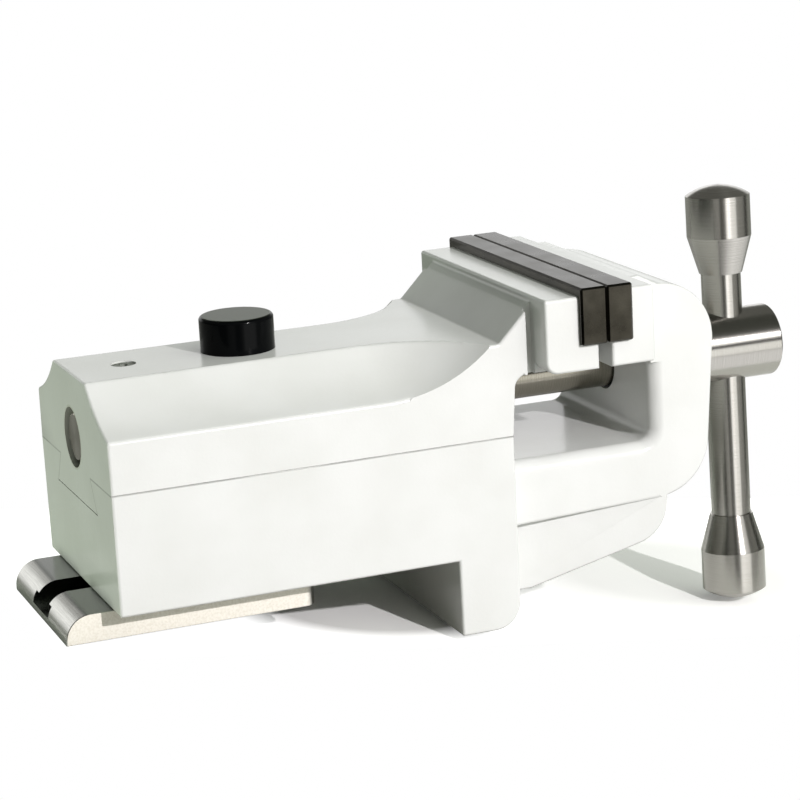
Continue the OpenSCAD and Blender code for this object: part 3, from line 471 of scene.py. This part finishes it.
bm = breakEdges("base_casting", baseSet, roundOnBase, fineOnBase)
for vert in bm.verts:  # room for oil under the slide
    atSplit = abs(vert.co.z / mm - baseSet["split"]) < baseSet["flush"]
    if atSplit and vert.co.x / mm < wayEnd:
        vert.co.z -= baseSet["oilFilm"] * mm
addPiece("baseBody", bm, "base_casting", "base")

# mm; no round on the tongue, at the jaw seat, the bores, the coves' ball ends and the block's groove
slideSet = {"edge": 0.9, "fine": 0.2, "split": 44.5, "seat": (115.8, 69.9), "tail": -23.6,
            "axis": 52.3, "bore": 9.6, "top": (71.8, 95), "topBand": 0.5, "inside": 17,
            "button": (27.8, 11.6), "oil": (-7.1, 4.2), "ballEnd": (66.2, 91.8, 30),
            "groove": (102.5, 105.6, 36, 40)}


def roundOnSlide(edge, p):
    if p.z < slideSet["split"] or (p.x > slideSet["seat"][0] and p.z > slideSet["seat"][1]):
        return False
    if p.x < slideSet["tail"]:
        return math.hypot(p.y, p.z - slideSet["axis"]) > slideSet["bore"]
    topLevel, topEnd = slideSet["top"]
    if abs(p.y) < slideSet["inside"] and p.z < topLevel - slideSet["topBand"]:
        return False
    start, end, near, far = slideSet["groove"]
    if start < p.x < end and near < abs(p.y) < far:
        return False
    start, end, near = slideSet["ballEnd"]
    if start < p.x < end and abs(p.y) > near:
        return False
    if p.z > topLevel and p.x < topEnd:
        nearButton = math.hypot(p.x - slideSet["button"][0], p.y) < slideSet["button"][1]
        nearOil = math.hypot(p.x - slideSet["oil"][0], p.y) < slideSet["oil"][1]
        return not (nearButton or nearOil)
    return longEnough(edge)


def fineOnSlide(edge, p):
    return p.x < slideSet["tail"] and p.z < slideSet["split"] and facesAlong(edge, 0)


addPiece("slideBody", breakEdges("slide_casting", slideSet, roundOnSlide, fineOnSlide),
         "slide_casting", "slide")

plateEdge = {"edge": 0.35, "rim": (29, 37)}


def roundOnPlate(edge, p):
    return longEnough(edge) and (abs(p.y) > plateEdge["rim"][0] or p.x > plateEdge["rim"][1])


addPiece("footPlate", breakEdges("foot_plate", plateEdge, roundOnPlate),
         "foot_plate", "base")
print("edges broken")

# spindle again with its thread, the ring's groove and the tenon in the head
spindleSet = {"lead": 3.0, "depth": 1.4, "crest": 0.3, "root": 0.34, "from": 2.0, "to": 92.0,
              "fade": 4.0, "sides": 64, "step": 0.25, "chamfer": 0.8, "groove": (0.5, 1.2, 0.7),
              "wall": 145.4, "shoulder": 168.65, "tenon": 6.0, "eye": 0.01}
tailEnd = Vector(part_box("spindle")[0]) / mm
headEnd = Vector(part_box("spindle")[1]) / mm
outer = (headEnd.z - tailEnd.z) / 2
axisHeight = (headEnd.z + tailEnd.z) / 2


def threadRadius(x, angle):
    fade = min(1, max(0, (x - tailEnd.x - spindleSet["from"]) / spindleSet["fade"]),
               max(0, (spindleSet["to"] - x) / spindleSet["fade"]))
    phase = (x / spindleSet["lead"] - angle / (2 * math.pi)) % 1
    flank = (1 - spindleSet["crest"] - spindleSet["root"]) / 2
    if phase < spindleSet["crest"]:
        cut = 0
    elif phase < spindleSet["crest"] + flank:
        cut = (phase - spindleSet["crest"]) / flank
    elif phase < 1 - flank:
        cut = 1
    else:
        cut = (1 - phase) / flank
    return outer - spindleSet["depth"] * cut * fade


stations = [(tailEnd.x, spindleSet["eye"]), (tailEnd.x, outer - spindleSet["chamfer"]),
            (tailEnd.x + spindleSet["chamfer"], outer)]
count = int((spindleSet["to"] - tailEnd.x - spindleSet["from"]) / spindleSet["step"])
stations += [(tailEnd.x + spindleSet["from"] + i * spindleSet["step"], None) for i in range(count + 1)]
grooveAt = spindleSet["wall"] + spindleSet["groove"][0]
grooveEnd = grooveAt + spindleSet["groove"][1]
grooveDeep = outer - spindleSet["groove"][2]
stations += [(grooveAt, outer), (grooveAt, grooveDeep), (grooveEnd, grooveDeep), (grooveEnd, outer),
             (spindleSet["shoulder"], outer), (spindleSet["shoulder"], spindleSet["tenon"]),
             (headEnd.x, spindleSet["tenon"]), (headEnd.x, spindleSet["eye"])]
bm = bmesh.new()
rings = []
for x, r in stations:
    ring = []
    for k in range(spindleSet["sides"]):
        angle = 2 * math.pi * k / spindleSet["sides"]
        reach = threadRadius(x, angle) if r is None else r
        ring.append(bm.verts.new(Vector((x, reach * math.cos(angle),
                                         axisHeight + reach * math.sin(angle))) * mm))
    rings.append(ring)
for a, b in zip(rings, rings[1:]):
    for k in range(spindleSet["sides"]):
        n = (k + 1) % spindleSet["sides"]
        bm.faces.new((a[k], a[n], b[n], b[k]))
bm.faces.new(rings[0][::-1])
bm.faces.new(rings[-1])
bmesh.ops.recalc_face_normals(bm, faces=bm.faces)
addPiece("threadedSpindle", bm, "spindle", "spindle")
print("spindle threaded")

# release spring again as a piece with its own mesh, carried by the button
pressedSpring = addPiece("pressedSpring", weldedCopy("release_spring"),
                         "release_spring", "button")
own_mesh(pressedSpring)
print("spring coiled")

# studio: a sheet of white paper under the vise as it stood, on its plate, hook and lower knob
floorSet = {"pivot": (-0.0377, 0, -0.0002), "fall": 0.1383, "spanX": (-0.042, 0.42),
            "spanY": (-0.042, 0.13), "paper": "#fbfbfa", "bounce": "#7a7871",
            "shades": [{"at": (0.066, 0.008, -0.0146), "reach": 0.06,
                        "lift": [(0.0, "#0c0c0c"), (0.55, "#0c0c0c"), (0.8, "#ffffff")]},
                       {"at": (0.182, 0.03, -0.0306), "reach": 0.12,
                        "lift": [(0.0, "#787878"), (0.3, "#7c7c7c"), (0.5, "#bcbcbc"),
                                 (0.75, "#ffffff")]}]}
# a small hard lamp for crisp shadows, two wide boxes for the near sides and a green card by the tail
lampSet = {"key": {"place": (0.396, -1.03, 0.534), "shape": "DISK", "size": (0.03, 0.03),
                   "power": 11.7, "colour": "#fffbfd"},
           "highBox": {"place": (0.66, -1.35, 0.545), "shape": "RECTANGLE", "size": (1.05, 0.27),
                       "power": 1.15, "colour": "#ffffff"},
           "lowBox": {"place": (0.66, -1.35, -0.16), "shape": "RECTANGLE", "size": (1.05, 0.54),
                      "power": 1.5, "colour": "#ffffff"},
           "card": {"place": (-0.3, 0.05, -0.03), "shape": "RECTANGLE", "size": (0.24, 0.2),
                    "power": 0.56, "colour": "#f2ffe9"},
           "aim": (0.06, 0, 0.03)}
# the room: what lights the coat softly, and what bright metal mirrors at each bearing
skySet = {"low": "#2f332d", "high": "#a6aba2", "front": "#8c8b86", "strength": 2.2, "room": 1.35,
          "upRight": (0.65, -0.35, 0.68),
          "spans": {"high": (0.3, 0.95), "front": (-0.3, -0.7), "lowDown": (0.0, -0.15),
                    "under": (-0.32, -0.42), "overhead": (0.31, 0.37), "right": (-0.6, 0.55),
                    "below": (0.06, -0.1), "back": (0.0, 0.2)},
          "walls": [(0.0, "#fafaf9"), (0.075, "#fafaf9"), (0.1, "#5a5c58"), (0.2, "#20231e"),
                    (0.36, "#20231e"), (0.388, "#90908c"), (0.418, "#a0a09c"), (0.432, "#a0a09c"),
                    (0.45, "#3c3c38"), (0.485, "#5a5955"), (0.515, "#d2d2ce"), (0.595, "#cececa"),
                    (0.62, "#94948f"), (0.71, "#747470"), (0.73, "#30302c"), (0.78, "#363632"),
                    (0.87, "#a0a09e"), (0.922, "#ffffff"), (0.938, "#ffffff"), (0.955, "#e2e2e1"),
                    (1.0, "#fafaf9")],
          "ceiling": "#3c3d38", "backCeiling": "#5e5e5a", "behind": "#848680",
          "groundLeft": "#4a4843", "groundRight": "#ffffff",
          "rail": "#1c1c1a", "railBand": (0.13, 0.095)}

floorMaterial = bpy.data.materials.new("paperSweep")
floorMaterial.use_nodes = True
tree = floorMaterial.node_tree
tree.nodes.clear()
rays = addNode(tree, "ShaderNodeLightPath")
direct = addNode(tree, "ShaderNodeMath", None,
                 {0: rays.outputs["Is Camera Ray"], 1: rays.outputs["Is Glossy Ray"]},
                 operation="MAXIMUM")
seen = addNode(tree, "ShaderNodeMix",
               {6: hexToLinear(floorSet["bounce"]), 7: hexToLinear(floorSet["paper"])},
               {"Factor": direct.outputs[0]}, data_type="RGBA")
paper = addNode(tree, "ShaderNodeBsdfDiffuse", None, {"Color": seen.outputs[2]})
where = addNode(tree, "ShaderNodeNewGeometry")
lifts = []
for shade in floorSet["shades"]:  # lifted to white, except where a shadow stays
    away = addNode(tree, "ShaderNodeVectorMath", {1: shade["at"]}, {0: where.outputs["Position"]},
                   operation="DISTANCE")
    share = addNode(tree, "ShaderNodeMath", {1: shade["reach"]}, {0: away.outputs["Value"]},
                    operation="DIVIDE")
    lifts.append(addNode(tree, "ShaderNodeValToRGB", None, {"Fac": share.outputs[0]}))
    rampStops(lifts[-1], shade["lift"])
liftHere = addNode(tree, "ShaderNodeMix", {"Factor": 1}, {6: lifts[0].outputs["Color"],
                                                          7: lifts[1].outputs["Color"]},
                   data_type="RGBA", blend_type="DARKEN")
lift = addNode(tree, "ShaderNodeEmission", None,
               {"Color": liftHere.outputs[2], "Strength": rays.outputs["Is Camera Ray"]})
lit = addNode(tree, "ShaderNodeAddShader", None, {0: paper.outputs[0], 1: lift.outputs[0]})
clear = addNode(tree, "ShaderNodeBsdfTransparent")
sheet = addNode(tree, "ShaderNodeMixShader", None, {0: where.outputs["Backfacing"], 1: lit.outputs[0],
                                                    2: clear.outputs[0]})  # open to a look from below
addNode(tree, "ShaderNodeOutputMaterial", None, {"Surface": sheet.outputs[0]})

floorMesh = bpy.data.meshes.new("floor")
corners = []
for x, y in ((0, 0), (1, 0), (1, 1), (0, 1)):
    left = floorSet["spanX"][x]
    corners.append((left, floorSet["spanY"][y],
                    floorSet["pivot"][2] - floorSet["fall"] * (left - floorSet["pivot"][0])))
floorMesh.from_pydata(corners, [], [(0, 1, 2, 3)])
floorMesh.materials.append(floorMaterial)
floor = bpy.data.objects.new("floor", floorMesh)
scene.collection.objects.link(floor)

for name in ("key", "highBox", "lowBox", "card"):
    given = lampSet[name]
    lampData = bpy.data.lights.new(name, "AREA")
    lampData.shape = given["shape"]
    lampData.size, lampData.size_y = given["size"]
    lampData.energy = given["power"]
    lampData.color = hexToLinear(given["colour"])[:3]
    lamp = bpy.data.objects.new(name, lampData)
    lamp.location = given["place"]
    aim = Vector(lampSet["aim"]) - Vector(given["place"])
    lamp.rotation_euler = aim.to_track_quat("-Z", "Y").to_euler()
    lamp.visible_glossy = name != "card"  # the steel shows no card beside the tail
    scene.collection.objects.link(lamp)

world = bpy.data.worlds.new("studio")
scene.world = world
world.use_nodes = True
tree = world.node_tree
tree.nodes.clear()
rays = addNode(tree, "ShaderNodeLightPath")
toward = addNode(tree, "ShaderNodeTexCoord")
parts = addNode(tree, "ShaderNodeSeparateXYZ", None, {"Vector": toward.outputs["Generated"]})
upRight = addNode(tree, "ShaderNodeVectorMath", {1: skySet["upRight"]},
                  {0: toward.outputs["Generated"]}, operation="DOT_PRODUCT")
sources = {"high": upRight.outputs["Value"], "right": parts.outputs["X"], "front": parts.outputs["Y"],
           "back": parts.outputs["Y"], "lowDown": parts.outputs["Z"], "under": parts.outputs["Z"],
           "overhead": parts.outputs["Z"], "below": parts.outputs["Z"]}
shares = {}
for name, source in sources.items():  # each rises from 0 to 1 over its span
    start, end = skySet["spans"][name]
    share = addNode(tree, "ShaderNodeMapRange", {"From Min": start, "From Max": end},
                    {"Value": source})
    shares[name] = share.outputs[0]
overTone = addNode(tree, "ShaderNodeMix",
                   {6: hexToLinear(skySet["low"]), 7: hexToLinear(skySet["high"])},
                   {"Factor": shares["high"]}, data_type="RGBA")
frontShare = addNode(tree, "ShaderNodeMath", None, {0: shares["front"], 1: shares["lowDown"]},
                     operation="MULTIPLY")  # white paper in front of the vise
ambientTone = addNode(tree, "ShaderNodeMix", {7: hexToLinear(skySet["front"])},
                      {"Factor": frontShare.outputs[0], 6: overTone.outputs[2]}, data_type="RGBA")
ambient = addNode(tree, "ShaderNodeBackground", {"Strength": skySet["strength"]},
                  {"Color": ambientTone.outputs[2]})
white = addNode(tree, "ShaderNodeBackground", {"Color": (1, 1, 1, 1), "Strength": 1})
ahead = addNode(tree, "ShaderNodeMath", {1: -1}, {0: parts.outputs["Y"]}, operation="MULTIPLY")
bearing = addNode(tree, "ShaderNodeMath", None, {0: parts.outputs["X"], 1: ahead.outputs[0]},
                  operation="ARCTAN2")
turnShare = addNode(tree, "ShaderNodeMapRange", {"From Min": -math.pi, "From Max": math.pi},
                    {"Value": bearing.outputs[0]})
walls = addNode(tree, "ShaderNodeValToRGB", None, {"Fac": turnShare.outputs[0]})
rampStops(walls, skySet["walls"])
ground = addNode(tree, "ShaderNodeMix",
                 {6: hexToLinear(skySet["groundLeft"]), 7: hexToLinear(skySet["groundRight"])},
                 {"Factor": shares["right"]}, data_type="RGBA")
backShare = addNode(tree, "ShaderNodeMath", None, {0: shares["below"], 1: shares["back"]},
                    operation="MULTIPLY")
wallTone = addNode(tree, "ShaderNodeMix", {7: hexToLinear(skySet["behind"])},
                   {"Factor": backShare.outputs[0], 6: walls.outputs["Color"]}, data_type="RGBA")
railLevel, railHalf = skySet["railBand"]
atRail = addNode(tree, "ShaderNodeMath", {1: railLevel, 2: railHalf}, {0: parts.outputs["Z"]},
                 operation="COMPARE")
railShare = addNode(tree, "ShaderNodeMath", None, {0: atRail.outputs[0], 1: shares["front"]},
                    operation="MULTIPLY")  # the dark gap between the boxes, a line along level steel
railed = addNode(tree, "ShaderNodeMix", {7: hexToLinear(skySet["rail"])},
                 {"Factor": railShare.outputs[0], 6: wallTone.outputs[2]}, data_type="RGBA")
withGround = addNode(tree, "ShaderNodeMix", None,
                     {"Factor": shares["under"], 6: railed.outputs[2], 7: ground.outputs[2]},
                     data_type="RGBA")
above = addNode(tree, "ShaderNodeMix",
                {6: hexToLinear(skySet["ceiling"]), 7: hexToLinear(skySet["backCeiling"])},
                {"Factor": shares["back"]}, data_type="RGBA")
roomTone = addNode(tree, "ShaderNodeMix", None,
                   {"Factor": shares["overhead"], 6: withGround.outputs[2], 7: above.outputs[2]},
                   data_type="RGBA")
room = addNode(tree, "ShaderNodeBackground", {"Strength": skySet["room"]},
               {"Color": roomTone.outputs[2]})
shiny = addNode(tree, "ShaderNodeMath", None,
                {0: rays.outputs["Is Glossy Ray"], 1: rays.outputs["Is Transmission Ray"]},
                operation="MAXIMUM")
first = addNode(tree, "ShaderNodeMixShader", None, {0: shiny.outputs[0], 1: ambient.outputs[0],
                                                    2: room.outputs[0]})
last = addNode(tree, "ShaderNodeMixShader", None, {0: rays.outputs["Is Camera Ray"],
                                                   1: first.outputs[0], 2: white.outputs[0]})
addNode(tree, "ShaderNodeOutputWorld", None, {"Surface": last.outputs[0]})
print("studio set")
